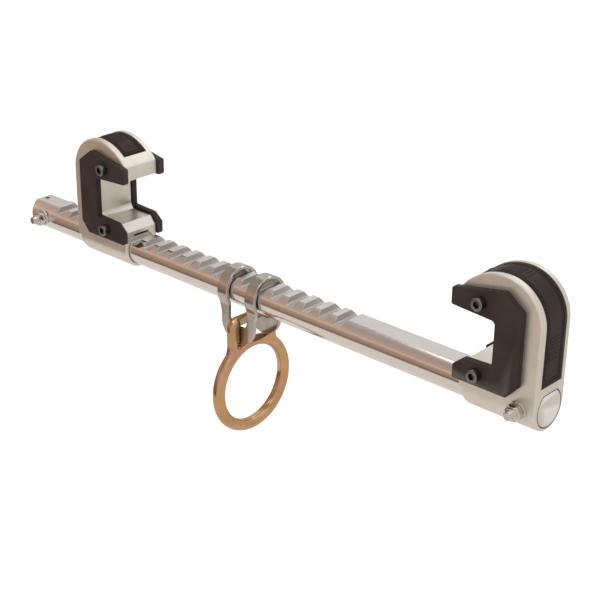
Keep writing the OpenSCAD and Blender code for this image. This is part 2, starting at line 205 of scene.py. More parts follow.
def bake(obj, sharp=38):
    """Applies an object's modifiers to its own mesh."""
    bpy.context.view_layer.update()
    graph = bpy.context.evaluated_depsgraph_get()
    mesh = bpy.data.meshes.new_from_object(obj.evaluated_get(graph))
    obj.modifiers.clear()
    obj.data = mesh
    tidy_mesh(mesh, sharp)


def combine(obj, other, operation="DIFFERENCE"):
    """Cuts or joins another solid, which is then removed."""
    mod = obj.modifiers.new("combine", "BOOLEAN")
    mod.operation = operation
    mod.solver = "EXACT"
    mod.object = other
    bake(obj)
    bpy.data.objects.remove(other)


def drill(obj, start, end, r, axis, base, steps=40):
    """Cuts a round hole between two distances from base along an axis."""
    combine(obj, lathe("cut", [(start, 0), (start, r), (end, r), (end, 0)], axis, base, steps))


def soften(obj, width, segments, angle):
    """A small round on an object's sharp edges."""
    mod = obj.modifiers.new("edge round", "BEVEL")
    mod.width = width * MM
    mod.segments = segments
    mod.limit_method = "ANGLE"
    mod.angle_limit = math.radians(angle)
    mod.use_clamp_overlap = True
    mod.miter_outer = "MITER_ARC"


def flatten_shading(obj):
    """Lets an object's large faces set the shading of the rounds between them."""
    mod = obj.modifiers.new("face weighted", "WEIGHTED_NORMAL")
    mod.keep_sharp = True
    mod.weight = 80


def box_mesh(name, a, b):
    """A plain box between two corners, used as a cutter."""
    verts = [(x, y, z) for x in (a[0], b[0]) for y in (a[1], b[1]) for z in (a[2], b[2])]
    faces = [(0, 1, 3, 2), (4, 6, 7, 5), (0, 4, 5, 1), (2, 3, 7, 6), (0, 2, 6, 4), (1, 5, 7, 3)]
    return make_object(name, verts, faces)


# ---------------------------------------------------------------- materials
class Shader:
    """A Principled material with a node tree that is filled in step by step."""

    def __init__(self, name, metallic, roughness):
        self.mat = bpy.data.materials.new(name)
        self.mat.use_nodes = True
        self.tree = self.mat.node_tree
        self.bsdf = self.tree.nodes["Principled BSDF"]
        self.bsdf.inputs["Metallic"].default_value = metallic
        self.bsdf.inputs["Roughness"].default_value = roughness
        self.coords = self.tree.nodes.new("ShaderNodeTexCoord").outputs["Object"]

    def link(self, a, b):
        self.tree.links.new(a, b)

    def noise(self, scale, detail, roughness, stretch=(1, 1, 1)):
        mapping = self.tree.nodes.new("ShaderNodeMapping")
        mapping.inputs["Scale"].default_value = stretch
        self.link(self.coords, mapping.inputs["Vector"])
        node = self.tree.nodes.new("ShaderNodeTexNoise")
        node.inputs["Scale"].default_value = scale
        node.inputs["Detail"].default_value = detail
        node.inputs["Roughness"].default_value = roughness
        self.link(mapping.outputs["Vector"], node.inputs["Vector"])
        return node.outputs["Fac"]

    def ramp(self, value, stops):
        node = self.tree.nodes.new("ShaderNodeValToRGB")
        elements = node.color_ramp.elements
        while len(elements) < len(stops):
            elements.new(0.5)
        for element, (pos, colour) in zip(elements, stops):
            element.position = pos
            element.color = (*colour, 1)
        self.link(value, node.inputs["Fac"])
        return node.outputs["Color"]

    def spread(self, value, low, high, start=0.3, end=0.7):
        node = self.tree.nodes.new("ShaderNodeMapRange")
        for key, number in (("From Min", start), ("From Max", end), ("To Min", low), ("To Max", high)):
            node.inputs[key].default_value = number
        self.link(value, node.inputs["Value"])
        return node.outputs["Result"]

    def mix(self, fac, a, b):
        node = self.tree.nodes.new("ShaderNodeMix")
        node.data_type = "RGBA"
        sockets = [s for s in node.inputs if s.type == "RGBA"]
        for value, target in ((a, sockets[0]), (b, sockets[1])):
            if isinstance(value, tuple):
                target.default_value = (*value, 1)
            else:
                self.link(value, target)
        if isinstance(fac, float):
            node.inputs["Factor"].default_value = fac
        else:
            self.link(fac, node.inputs["Factor"])
        return [s for s in node.outputs if s.type == "RGBA"][0]

    def edges(self, low, high):
        """1 on raised edges, 0 elsewhere."""
        geometry = self.tree.nodes.new("ShaderNodeNewGeometry")
        return self.spread(geometry.outputs["Pointiness"], 0, 1, low, high)

    def bump(self, value, strength, distance):
        node = self.tree.nodes.new("ShaderNodeBump")
        node.inputs["Strength"].default_value = strength
        node.inputs["Distance"].default_value = distance * MM
        self.link(value, node.inputs["Height"])
        self.link(node.outputs["Normal"], self.bsdf.inputs["Normal"])

    def colour(self, value):
        self.link(value, self.bsdf.inputs["Base Color"])

    def roughness(self, value):
        self.link(value, self.bsdf.inputs["Roughness"])


def metal(name, dark, light, rough, grain, stretch=(1, 1, 1), bump=0.05, bump_scale=900, edge=None,
          metallic=1.0, wear_and_highlight_range=(0.51, 0.56)):
    """Metal with cloudy colour, uneven gloss, a fine grain and raised edges painted brighter, partly as wear
    and partly as a painted highlight.
    """
    s = Shader(name, metallic, rough[0])
    cloud = s.ramp(s.noise(grain, 5, 0.6, stretch), [(0.3, dark), (0.7, light)])
    fine = s.noise(bump_scale, 3, 0.6, stretch)
    tint = s.mix(s.spread(fine, 0.0, 0.35), cloud, tuple(c * 0.88 for c in dark))
    # raised edges take the edge colour: partly wear, partly a painted highlight along the rounds
    if edge:
        tint = s.mix(s.edges(*wear_and_highlight_range), tint, edge)
    s.colour(tint)
    s.roughness(s.spread(s.noise(grain * 3, 4, 0.6, stretch), rough[0], rough[1]))
    s.bump(fine, bump, 0.05)
    return s.mat


def moulded(name, dark, light, rough, level, edge=(0.075, 0.065, 0.06)):
    """Moulded plastic: slight clouds, a fine spark texture and scuffed edges."""
    s = Shader(name, 0.0, rough[0])
    s.bsdf.inputs["Specular IOR Level"].default_value = level
    base = s.ramp(s.noise(60, 4, 0.6), [(0.3, dark), (0.7, light)])
    s.colour(s.mix(s.edges(0.57, 0.68), base, edge))
    s.roughness(s.spread(s.noise(140, 4, 0.6), rough[0], rough[1]))
    s.bump(s.noise(2520, 3, 0.7), 0.25, 0.06)
    return s.mat


# the edge colours below brighten raised edges: partly wear, partly a painted highlight
MAT = {
    "bar": metal("bar steel", (0.70, 0.65, 0.61), (0.80, 0.755, 0.72), (0.10, 0.17), 22,
                 stretch=(0.12, 1.0, 1.0), bump=0.05, bump_scale=1400, edge=(0.92, 0.90, 0.87)),
    "notch": metal("milled notch steel", (0.42, 0.40, 0.37), (0.55, 0.53, 0.49), (0.42, 0.52), 60,
                   stretch=(1.0, 0.10, 1.0), bump=0.18, bump_scale=1500, metallic=0.75),
    "flat": metal("milled flat steel", (0.60, 0.575, 0.56), (0.72, 0.69, 0.67), (0.20, 0.30), 40,
                  stretch=(0.10, 1.0, 1.0), bump=0.10, bump_scale=1600),
    "jaw": metal("satin nickel jaw", (0.62, 0.575, 0.505), (0.73, 0.685, 0.61), (0.32, 0.41), 34,
                 bump=0.14, bump_scale=1300, edge=(0.88, 0.86, 0.81), metallic=0.9, wear_and_highlight_range=(0.57, 0.66)),
    # painted shadow: near-black colour for the bar's end chamfer, standing in for the shade in the gap round
    # the bar at the fixed jaw
    "seam": metal("shadowed seam", (0.05, 0.045, 0.04), (0.09, 0.08, 0.07), (0.5, 0.6), 200),
    "pad": moulded("moulded pad black", (0.026, 0.016, 0.014), (0.036, 0.023, 0.020), (0.48, 0.60),
                  level=0.1),
    "grip": moulded("grip black", (0.020, 0.013, 0.011), (0.030, 0.020, 0.017), (0.46, 0.60), level=0.14),
    "screw": metal("black oxide screw", (0.045, 0.043, 0.045), (0.085, 0.080, 0.082), (0.26, 0.38), 300,
                   bump=0.06, edge=(0.28, 0.26, 0.26)),
    "zinc": metal("bright zinc", (0.50, 0.46, 0.42), (0.68, 0.64, 0.60), (0.10, 0.18), 160,
                  bump=0.06, edge=(0.85, 0.82, 0.79), wear_and_highlight_range=(0.55, 0.62)),
    "nylon": moulded("nut nylon", (0.42, 0.40, 0.37), (0.52, 0.50, 0.47), (0.40, 0.5), level=0.42,
                     edge=(0.62, 0.60, 0.57)),
    "spring": metal("spring wire", (0.45, 0.45, 0.44), (0.62, 0.62, 0.60), (0.22, 0.3), 300),
    "pawl": metal("hardened pawl steel", (0.16, 0.155, 0.15), (0.26, 0.25, 0.24), (0.32, 0.42), 120,
                  edge=(0.5, 0.49, 0.47)),
    "button": metal("turned button steel", (0.50, 0.49, 0.47), (0.66, 0.65, 0.63), (0.18, 0.28), 200,
                    edge=(0.85, 0.84, 0.82)),
    "saddle": metal("saddle strip steel", (0.44, 0.40, 0.37), (0.58, 0.54, 0.505), (0.15, 0.24), 50,
                    bump=0.07, bump_scale=1200, edge=(0.88, 0.85, 0.81), wear_and_highlight_range=(0.54, 0.60)),
}


def yellow_zinc():
    """Yellow chromate with slow pink and green drifts in its gold."""
    s = Shader("yellow zinc ring", 1.0, 0.2)
    gold = s.ramp(s.noise(30, 4, 0.6), [(0.3, (0.42, 0.225, 0.10)), (0.72, (0.70, 0.45, 0.25))])
    drift = s.noise(26, 2, 0.5, (1, 1, 1.6))
    film = s.ramp(drift, [(0.30, (0.62, 0.33, 0.29)), (0.44, (0.58, 0.36, 0.18)),
                          (0.56, (0.54, 0.34, 0.17)), (0.70, (0.44, 0.42, 0.25))])
    # raised edges painted a pale gold: partly wear, partly a painted highlight
    s.colour(s.mix(s.edges(0.53, 0.62), s.mix(0.55, gold, film), (0.86, 0.68, 0.42)))
    s.roughness(s.spread(s.noise(90, 4, 0.6), 0.13, 0.23))
    s.bump(s.noise(500, 3, 0.6), 0.06, 0.05)
    return s.mat


MAT["ring"] = yellow_zinc()


def finish_piece(obj, material, body, *nodes):
    """Gives a piece its material, its body and the CAD nodes that it stands for."""
    if not obj.data.materials:
        obj.data.materials.append(MAT[material])
    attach(obj, body)
    if nodes:
        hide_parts(*nodes)


# ---------------------------------------------------------------- bar
def notch_stations():
    """(x, height of the top) along the bar; a notch is a steep wall, a round foot, a floor and a ramp."""
    corner, wall_lean, wall_foot, floor_end = 1.3, 0.28, 0.4, 6.15
    ramp = math.atan2(NOTCH_DEPTH, NOTCH_W - floor_end)
    ramp_foot = floor_end - corner * math.tan(ramp / 2)
    arc_z = corner - NOTCH_DEPTH
    profile = [(0, 0), (wall_lean, arc_z)]
    profile += arc(wall_foot + corner, arc_z, corner, 190, 270, 5)
    profile += arc(ramp_foot, arc_z, corner, 270, 270 + math.degrees(ramp), 5)
    profile += [(NOTCH_W, 0)]
    stations = [(bar_lo.x, FLAT_H)]
    for i in reversed(range(NOTCH_COUNT)):
        start = -PLAIN_LEN - NOTCH_W - i * NOTCH_PITCH
        stations += [(start + x, FLAT_H + z) for x, z in profile]
    stations += [(x, FLAT_H) for x in range(-110, 11, 30)]
    return stations + [(bar_hi.x - BAR_CHAMFER, FLAT_H)]


def bar_ring(height):
    """Points round the bar's cross-section from one edge of its top to the other."""
    low, rim_steps, round_steps = 26, 8, 46
    top = math.degrees(math.asin(height / BAR_R))
    right = [top - (top - low) * k / rim_steps for k in range(rim_steps)]
    right += [low - (low + 90) * k / round_steps for k in range(round_steps + 1)]
    pts = [(BAR_R * math.cos(math.radians(t)), BAR_R * math.sin(math.radians(t))) for t in right]
    return pts + [(-y, z) for y, z in reversed(pts[:-1])]


def bar_finish(poly):
    """Which of the bar's finishes a face has; the chamfer at the fixed jaw gets a near-black painted shadow
    for the gap round the bar.
    """
    z = poly.center.z / MM - AXIS_Z
    sideways = abs(poly.normal.y)
    # the end chamfer at the fixed jaw is painted near-black as the shadow in the gap round the bar
    if poly.center.x / MM > bar_hi.x - BAR_CHAMFER and poly.normal.x < 0.95:
        return "seam"
    if sideways < 0.2 and poly.normal.z > 0.5 and z > FLAT_H - 0.1:
        return "flat"
    if sideways < 0.4 and 4 < z < FLAT_H - 0.05 and math.hypot(poly.center.y / MM, z) < BAR_R - 0.25:
        return "notch"
    return "bar"


def build_bar():
    end_scale = 0.955
    rings = [[(x, y, z) for y, z in bar_ring(h)] for x, h in notch_stations()]
    rings.append([(bar_hi.x, y * end_scale, z * end_scale) for y, z in bar_ring(FLAT_H)])
    verts = [point for ring in rings for point in ring]
    obj = make_object("notched_bar", verts, skin(len(rings[0]), len(rings)), 30)
    drill(obj, FLAT_H - 8, FLAT_H + 2, 1.9, "z", (bar_lo.x + 4, 0, 0), 24)
    finishes = ("bar", "notch", "flat", "seam")
    for finish in finishes:
        obj.data.materials.append(MAT[finish])
    for poly in obj.data.polygons:
        poly.material_index = finishes.index(bar_finish(poly))
    soften(obj, 0.22, 2, 32)
    flatten_shading(obj)
    finish_piece(obj, "bar", "bar", "bar")


# ---------------------------------------------------------------- jaws
def seat_line(a, a0, z0):
    """Height at length a on the sloping line through (a0, z0)."""
    return z0 + (a - a0) * math.tan(SLOPE)


def steel_outline(round_out, round_in):
    """Side outline of a jaw's steel from its underside round the head to the base's front."""
    throat, floor, roof = 29.3, 21.0, 54.8
    r_top, r_foot = 3.0, 5.0
    base_drop = -1.4
    top_z = seat_line(throat + r_top, throat, roof) - r_top / math.cos(SLOPE)
    pts = [(0, 0)]
    pts += [(0, SPINE_TOP * k / 6) for k in range(1, 6)]
    pts += arc(CROWN_R, SPINE_TOP, CROWN_R, 180, 90, 34)
    end = math.degrees(math.atan2(NOSE[1] - BROW_Z, NOSE[0] - CROWN_R))
    pts += arc(CROWN_R, BROW_Z, BROW_R, 90, end, 26)[1:]
    pts += [(NOSE[0], seat_line(NOSE[0], throat, roof))]
    pts += arc(throat + r_top, top_z, r_top, 90 + math.degrees(SLOPE), 180, 8)
    pts += arc(throat + r_foot, floor + r_foot, r_foot, 180, 270, 10)
    pts += [(51.2, floor), (BASE_LEN, 15.1), (BASE_LEN, 0)]
    pts += [(BASE_LEN - round_in, base_drop), (round_out, base_drop)]
    return pts


def band_path(depth, foot, end, step=1.6):
    """Points and outward normals along the outside of the spine and crown, at a depth below it."""
    count = int((SPINE_TOP - foot) / step)
    out = [((depth, foot + (SPINE_TOP - foot) * k / count), (-1, 0)) for k in range(count)]
    last = math.degrees(math.acos((end - CROWN_R) / (BROW_R - depth)))
    turns = [(SPINE_TOP, CROWN_R, 180 - 90 * k / 36) for k in range(37)]
    turns += [(BROW_Z, BROW_R, 90 + (last - 90) * k / 28) for k in range(1, 29)]
    for z, r, angle in turns:
        n = (math.cos(math.radians(angle)), math.sin(math.radians(angle)))
        out.append(((CROWN_R + (r - depth) * n[0], z + (r - depth) * n[1]), n))
    return out


def build_jaw(name, node, place, rounds, sliding):
    """A jaw's steel: head and spine, turned base, grip's groove, bore and, on the slide, the pawl's room."""
    body = plate(name, steel_outline(*rounds), place, -JAW_R, JAW_R, 1.5, 1.5)
    out_r, in_r = rounds
    profile = [(0, 0)] + arc(out_r, JAW_R - out_r, out_r, 180, 90, 8)
    profile += arc(BASE_LEN - in_r, JAW_R - in_r, in_r, 90, 0, 8) + [(BASE_LEN, 0)]
    shrink = 0.9995             # keeps the turned base's surface off the plate's faces
    turned = [(place(d, 0, 0)[0], r * shrink) for d, r in profile]
    combine(body, lathe("join", turned, "x", (0, 0, 0), 128), "UNION")

    outer = [p for p, _ in band_path(-1.5, *GROOVE)]
    inner = [p for p, _ in band_path(GRIP_SINK + GRIP_T, *GROOVE)]
    groove_half = GRIP_W / 2 + GRIP_GAP
    combine(body, plate("cut", outer + inner[::-1], place, -groove_half, groove_half))

    gap = 0.3 if sliding else 0.15
    edge = math.degrees(math.asin((FLAT_H + gap) / (BAR_R + gap)))
    section = arc(0, 0, BAR_R + gap, edge, -180 - edge, 90)
    verts = [(place(a, 0, 0)[0], y, z) for a in PAST_ENDS for y, z in section]
    combine(body, make_object("cut", verts, skin(len(section), 2)))
    if sliding:
        start, end = PAST_ENDS
        slot_half, slot_z, pocket_half = 7, (5, 12.4), 4
        combine(body, box_mesh("cut", place(start, -slot_half, slot_z[0]), place(end, slot_half, slot_z[1])))
        pocket = [(5, 0), (34.5, 0), (34.5, 19.4), (26, 19.4), (26, 47), (5, 47)]
        combine(body, plate("cut", pocket, place, -pocket_half, pocket_half))
        drill(body, -2, 6, BUTTON_HOLE_R, "x", place(0, 0, BUTTON_Z))
    soften(body, 0.35, 2, 40)
    flatten_shading(body)
    finish_piece(body, "jaw", "sliding_jaw" if sliding else "bar", node)


def pad_outline():
    """Side outline of a jaw's pad, from its nose down round the throat and back over its base and spine."""
    r = 2.5
    arc_z = seat_line(THROAT + r, THROAT, SEAT_DROP) - r / math.cos(SLOPE)
    pts = [(61.2, 67.15), (62, 66.2), (62, 56.4), (61.1, seat_line(61.1, THROAT, SEAT_DROP))]
    pts += arc(THROAT + r, arc_z, r, 90 + math.degrees(SLOPE), 180, 7)
    pts += [(THROAT, 24.0), (THROAT + 0.5, 23.5), (51.0, 22.65), (51.7, 22.3), (58.1, 17.0), (58.5, 16.2)]
    pts += [(58.5, 8.1), (57.9, 7.5), (19.4, 7.5), (18.7, 7.8), (11.8, 15.5), (11.5, 16.2)]
    pts += [(11.5, 63.5), (11.9, 64.3), (24.2, 73.4), (25.2, 73.75)]
    return pts


def build_pad(name, node, place, side, body):
    edge_r, steps = 0.9, 4
    if side > 0:
        obj = plate(name, pad_outline(), place, JAW_R, JAW_R + PAD_T, 0.0, edge_r, steps)
    else:
        obj = plate(name, pad_outline(), place, -JAW_R - PAD_T, -JAW_R, edge_r, 0.0, steps)
    flatten_shading(obj)
    finish_piece(obj, "pad", body, node)


def hex_points(flats, turn=0.0):
    """Points evenly round a hexagon, as polar angle and radius."""
    out = []
    for i in range(RING_POINTS):
        t = 2 * math.pi * i / RING_POINTS + turn
        local = (t - turn) % (math.pi / 3) - math.pi / 6
        out.append((t, flats / 2 / math.cos(local)))
    return out


def rings_object(name, rings, side, base):
    """Joins rings of (angle, radius) points at distances from base along Y; side is 1 or -1."""
    x, y, z = base
    verts = []
    for d, ring in rings:
        verts += [(x + r * math.cos(t), y + side * d, z + r * math.sin(t)) for t, r in ring]
    return make_object(name, verts, skin(RING_POINTS, len(rings)), TURNED_SHARP)


def circle_ring(r, turn=0.0):
    """Points evenly round a circle, as polar angle and radius."""
    return [(2 * math.pi * i / RING_POINTS + turn, r) for i in range(RING_POINTS)]


def socket_screw(name, base, side):
    """Cap screw: knurled head with a hexagon socket."""
    head, r, shank_r, turn = 5.3, 4.25, 2.4, 0.35
    hexagon = hex_points(4.0, turn)
    mouth = [(t, q + 0.25) for t, q in hexagon]
    knurl = [(t, q - (0.12 if i % 2 else 0.0)) for i, (t, q) in enumerate(circle_ring(r, turn))]
    rings = [(-1.0, circle_ring(shank_r, turn)), (0.05, circle_ring(shank_r, turn)),
             (0.05, circle_ring(r - 0.15, turn)), (0.3, knurl), (head - 0.8, knurl),
             (head - 0.5, circle_ring(r - 0.12, turn)), (head - 0.12, circle_ring(r - 0.42, turn)),
             (head, circle_ring(r - 0.75, turn)), (head, mouth), (head - 0.25, hexagon),
             (head - 2.8, hexagon), (head - 3.3, circle_ring(0.6, turn))]
    return rings_object(name, rings, side, base)


def join(objects, name):
    """One object from several."""
    mesh = bpy.data.meshes.new(name)
    bm = bmesh.new()
    for obj in objects:
        bm.from_mesh(obj.data)
    bm.to_mesh(mesh)
    bm.free()
    for obj in objects:
        bpy.data.objects.remove(obj)
    out = bpy.data.objects.new(name, mesh)
    bpy.context.scene.collection.objects.link(out)
    shade(mesh, TURNED_SHARP)
    return out


def build_screws(name, node, place, side, body):
    base_y = (JAW_R + PAD_T) * side
    parts = [socket_screw(name, place(SCREW_A, base_y, z), side) for z in SCREW_Z]
    finish_piece(join(parts, name), "screw", body, node)


def build_grip(name, node, place, body, button_hole):
    """Grip strip with a double border and ribs, laid in the groove of the spine and crown."""
    foot, end = GROOVE
    top = band_path(GRIP_SINK, foot + GRIP_GAP, end - 0.1, 0.5)
    lengths = [0.0]
    for (p, _), (q, _) in zip(top, top[1:]):
        lengths.append(lengths[-1] + math.dist(p, q))
    total = lengths[-1]
    half = GRIP_W / 2
    columns, row_step = 64, 0.42
    ys = [-half + GRIP_W * k / columns for k in range(columns + 1)]
    edge_round = 0.5
    borders = ((1.7, 2.4, 0.7), (3.5, 4.1, 0.55))       # from, to and depth, in from the strip's edge
    rib_blocks = ((16.0, 7), (total - 34.0, 8))         # first rib's place along the strip and their count
    rib_pitch, rib_half, rib_reach, rib_h = 2.4, 0.6, 4.9, 0.5

    def relief(s, y):
        edge = min(half - abs(y), s, total - s)
        h = 0.0
        if edge < edge_round:
            h -= edge_round * (1 - edge / edge_round) ** 2
        for near, far, depth in borders:
            if near < edge < far:
                h -= depth
        for start, count in rib_blocks:
            for k in range(count):
                if abs(s - start - rib_pitch * k) < rib_half and abs(y) < rib_reach:
                    h += rib_h
        return h

    count = int(total / row_step)
    rows = []
    index = 0
    for k in range(count + 1):
        s = total * k / count
        while index < len(lengths) - 2 and lengths[index + 1] < s:
            index += 1
        span = lengths[index + 1] - lengths[index]
        f = min(1.0, max(0.0, (s - lengths[index]) / span))
        (p, n0), (q, n1) = top[index], top[index + 1]
        pos = (p[0] + (q[0] - p[0]) * f, p[1] + (q[1] - p[1]) * f)
        n = (n0[0] + (n1[0] - n0[0]) * f, n0[1] + (n1[1] - n0[1]) * f)
        rows.append((s, pos, n))
    verts, faces = [], []
    for s, p, n in rows:
        for y in ys:
            h = relief(s, y)
            verts.append(place(p[0] + n[0] * h, y, p[1] + n[1] * h))
    ny = len(ys)
    base = len(verts)
    for _, p, n in rows:
        for y in ys:
            verts.append(place(p[0] - n[0] * GRIP_T, y, p[1] - n[1] * GRIP_T))
    for k in range(len(rows) - 1):
        for i in range(ny - 1):
            a, b = k * ny + i, (k + 1) * ny + i
            faces.append((a, a + 1, b + 1, b))
            faces.append((base + a, base + b, base + b + 1, base + a + 1))
        for i in (0, ny - 1):
            a, b = k * ny + i, (k + 1) * ny + i
            faces.append((a, b, base + b, base + a))
    for k in (0, len(rows) - 1):
        for i in range(ny - 1):
            a = k * ny + i
            faces.append((a, a + 1, base + a + 1, base + a))
    obj = make_object(name, verts, faces, 50)
    if button_hole:
        drill(obj, -3, 6, BUTTON_HOLE_R, "x", place(0, 0, BUTTON_Z))
    finish_piece(obj, "grip", body, node)


def at_fixed(a, y, z):
    """A point of the fixed jaw, whose back faces +X."""
    return (FIXED_X - a, y, z)


def at_sliding(a, y, z):
    """A point of the sliding jaw, whose back faces -X."""
    return (SLIDING_X + a, y, z)


# ---------------------------------------------------------------- cross bolts
# place along the bar, and distance of the washers' seats from its axis
BOLTS = {"fixed_jaw": (FIXED_X - 12.2, JAW_R), "end_stop": (bar_lo.x + 14.5, BAR_R)}
BOLT_R = 3.0
HEX_FLATS = 10.0
HEAD_H = 4.0
NUT_H = 6.6
NUT_HEX_SHARE = 0.66
WASHER_R = 6.2
WASHER_T = 1.6
STUB = 3.3


def threaded(r, start, end):
    """(distance, radius) points of a threaded rod's outside, with a chamfered end."""
    half_pitch, depth = 0.5, 0.32
    pts = []
    count = int((end - start - 0.6) / half_pitch)
    for k in range(count + 1):
        pts.append((start + k * half_pitch, r - (depth if k % 2 else 0.0)))
    return pts + [(end - 0.5, r - 0.1), (end, r - 0.7), (end, 0)]


def build_cross_bolt(key):
    """Bolt with its head at the rear, a washer on each side and a locknut in front; returns its insert."""
    x, seat = BOLTS[key]
    base = (x, 0, 0)
    face = seat + WASHER_T
    head_top = face + HEAD_H
    nut_top = face + NUT_H
    shank = [(-face - 1, 0), (-face - 1, BOLT_R - 0.02), (face + 0.5, BOLT_R - 0.02)]
    stem = lathe("stem", shank + threaded(BOLT_R - 0.03, face + 0.5, nut_top + STUB), "-y", base, 48)
    flat_r = HEX_FLATS / 2
    full = hex_points(HEX_FLATS)
    turned = [(t, min(r, flat_r + 0.05)) for t, r in full]
    head = rings_object("head", [(face, circle_ring(flat_r - 0.4)), (face, turned), (face + 0.35, full),
                                 (head_top - 0.8, full), (head_top - 0.1, turned),
                                 (head_top, circle_ring(flat_r - 0.6))], 1, base)
    finish_piece(join([stem, head], key + "_cross_bolt"), "zinc", "bar", key + "_bolt")

    hole = BOLT_R + 0.2
    washer = [(seat, hole), (seat, WASHER_R - 0.25), (seat + 0.25, WASHER_R), (face - 0.25, WASHER_R),
              (face, WASHER_R - 0.3), (face, hole + 0.15), (face - 0.15, hole), (seat, hole)]
    washers = [lathe("washer", washer, side, base, 72) for side in ("y", "-y")]
    finish_piece(join(washers, key + "_plain_washers"), "zinc", "bar", key + "_washers")

    collar = flat_r - 0.75
    bore = BOLT_R + 0.05
    hex_top = face + NUT_H * NUT_HEX_SHARE
    rings = [(face + 2.0, circle_ring(bore)), (face, circle_ring(bore)), (face, turned),
             (face + 0.4, full), (hex_top, full)]
    upper = [(hex_top + 0.7, flat_r - 0.1), (hex_top + 0.9, collar), (nut_top - 0.9, collar),
             (nut_top - 0.3, collar - 0.3), (nut_top, collar - 0.9), (nut_top - 0.3, collar - 1.1),
             (nut_top - 1.6, collar - 1.1), (nut_top - 1.6, bore)]
    rings += [(d, circle_ring(r)) for d, r in upper]
    finish_piece(rings_object("nut", rings, -1, base), "zinc", "bar", key + "_locknut")
    insert = [(nut_top - 1.5, bore), (nut_top - 1.5, collar - 1.15), (nut_top - 0.4, collar - 1.15),
              (nut_top - 0.15, collar - 1.5), (nut_top - 0.3, bore + 0.1), (nut_top - 1.5, bore)]
    return lathe("insert", insert, "-y", base, 48)


# ---------------------------------------------------------------- saddle
def saddle_path():
    """Front half of the strip's middle line (y, z), from its foot to the top of the loop."""
    y_plate = 12.8
    loop_z, loop_r = -0.6, 15.0
    join_angle = math.degrees(math.asin(y_plate / loop_r))
    start_z = loop_z - loop_r * math.cos(math.radians(join_angle))
    straight = [(-y_plate, SADDLE_FOOT), (-y_plate, start_z)]
    curve = arc(0, loop_z, loop_r, 270 - join_angle, 90, 60)
    return straight + curve[1:]


def path_length(path):
    """Length of a path, in millimetres."""
    return sum(math.dist(p, q) for p, q in zip(path, path[1:]))


def path_point(path, s):
    """Point at distance s along a path."""
    for p, q in zip(path, path[1:]):
        step = math.dist(p, q)
        if s <= step or q is path[-1]:
            f = min(1.0, s / step)
            return (p[0] + (q[0] - p[0]) * f, p[1] + (q[1] - p[1]) * f)
        s -= step


def saddle_rows(total):
    """Rows over a quarter of the flat strip, each from the window to the outer edge, as (x, distance)."""
    half, plate_half, plate_z = 18.0, 16.2, -21
    window, window_z, window_r = 8.7, -23.4, 5.0
    neck_foot, neck_top = -15, -9
    foot_steps = 20
    sill = [(0, window_z), (window - window_r, window_z)]
    sill += arc(window - window_r, window_z + window_r, window_r, 270, 360, 12)[1:]
    rows = []
    for k in range(foot_steps + 1):
        t = math.pi / 2 * k / foot_steps
        xi, zi = path_point(sill, path_length(sill) * k / foot_steps)
        xo, zo = plate_half * math.sin(t), plate_z - plate_half * math.cos(t)
        rows.append(((xi, zi - SADDLE_FOOT), (xo, zo - SADDLE_FOOT)))
    for z in (-17.2, -16.1, neck_foot):
        rows.append(((window, z - SADDLE_FOOT), (plate_half, z - SADDLE_FOOT)))
    for f in (0.25, 0.5, 0.75, 1.0):
        s = neck_foot + (neck_top - neck_foot) * f - SADDLE_FOOT
        rows.append(((window, s), (plate_half + (half - plate_half) * f, s)))
    s = neck_top - SADDLE_FOOT
    while s < total - 0.3:
        s = min(total, s + 0.9)
        rows.append(((window, s), (half, s)))
    return rows + [((window, total), (half, total))]


def build_saddle():
    """The bent strip: a quarter of it laid along its path and mirrored both ways, then thickened."""
    strip_t, across = 2.8, 4
    path = saddle_path()
    quarter = []
    for (xi, si), (xo, so) in saddle_rows(path_length(path)):
        line = []
        for k in range(across + 1):
            f = k / across
            y, z = path_point(path, si + (so - si) * f)
            line.append((xi + (xo - xi) * f, y, z))
        quarter.append(line)
    verts, faces = [], []
    w = across + 1
    for sx in (1, -1):
        for sy in (1, -1):
            base = len(verts)
            for line in quarter:
                verts += [(HANGER_X + sx * x, sy * y, z) for x, y, z in line]
            for k in range(len(quarter) - 1):
                for i in range(across):
                    a, b = base + k * w + i, base + (k + 1) * w + i
                    faces.append((a, a + 1, b + 1, b) if sx * sy > 0 else (a, b, b + 1, a + 1))
    obj = make_object("saddle_strip", verts, faces, 60)
    solid = obj.modifiers.new("thickness", "SOLIDIFY")
    solid.thickness = strip_t * MM
    solid.offset = 0
    solid.use_even_offset = True
    bake(obj, 40)
    soften(obj, 0.55, 3, 45)
    flatten_shading(obj)
    finish_piece(obj, "saddle", "hanger", "hanger")


# ---------------------------------------------------------------- ring
def tube(name, points, closed, r):
    """A round tube through points (y, z) in the ring's plane."""
    steps = 32
    n = len(points)
    verts = []
    for i, (y, z) in enumerate(points):
        if closed:
            p, q = points[i - 1], points[(i + 1) % n]
        else:
            p, q = points[max(0, i - 1)], points[min(n - 1, i + 1)]
        t = Vector((q[0] - p[0], q[1] - p[1])).normalized()
        for k in range(steps):
            a = 2 * math.pi * k / steps
            u, v = r * math.cos(a), r * math.sin(a)
            verts.append((HANGER_X + u, y - t.y * v, z + t.x * v))
    return make_object(name, verts, skin(steps, n, closed), 60)


